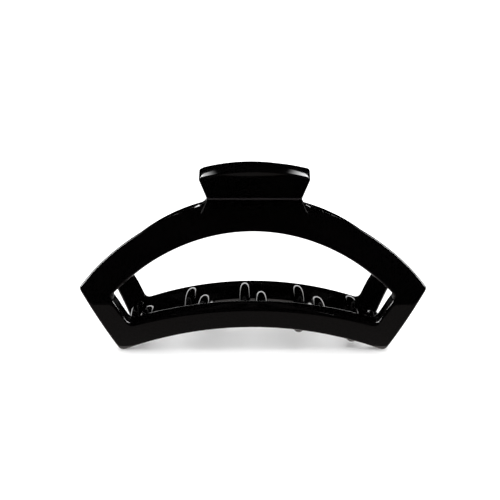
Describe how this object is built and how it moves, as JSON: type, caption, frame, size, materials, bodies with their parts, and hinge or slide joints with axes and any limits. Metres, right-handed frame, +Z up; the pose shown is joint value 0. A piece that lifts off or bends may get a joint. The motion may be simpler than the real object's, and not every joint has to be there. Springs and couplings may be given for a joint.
{
  "type": "hair claw clip",
  "caption": "Open-frame hair claw clip: two curved moulded jaws with windows and interlocking teeth, sprung shut on a hinge pin between two leaning finger handles.",
  "frame": {"origin": "on the surface that the clip stands on, under the middle of its bounding box", "axes": "+X along the hinge and the clip's length, -Y out of the front jaw, +Z up from the rails to the handles"},
  "size_m": [0.1052, 0.0508, 0.0586],
  "materials": {
    "gloss_black_plastic": "glossy jet black, polished",
    "pin_steel": "bright drawn steel",
    "spring_steel": "bright spring wire"
  },
  "bodies": {
    "front": {"front_jaw": "gloss_black_plastic", "hinge_pin": "pin_steel", "torsion_spring": "spring_steel"},
    "rear": {"rear_jaw": "gloss_black_plastic"}
  },
  "joints": [
    {"name": "jaw_hinge", "type": "hinge", "parent": "front", "child": "rear", "pos_m": [0, 0, 0.04655], "axis": [1, 0, 0], "range_deg": [0, 60], "stiffness_Nm_per_rad": 0.12, "springref_deg": -34.38, "deforming": ["torsion_spring"]}
  ]
}
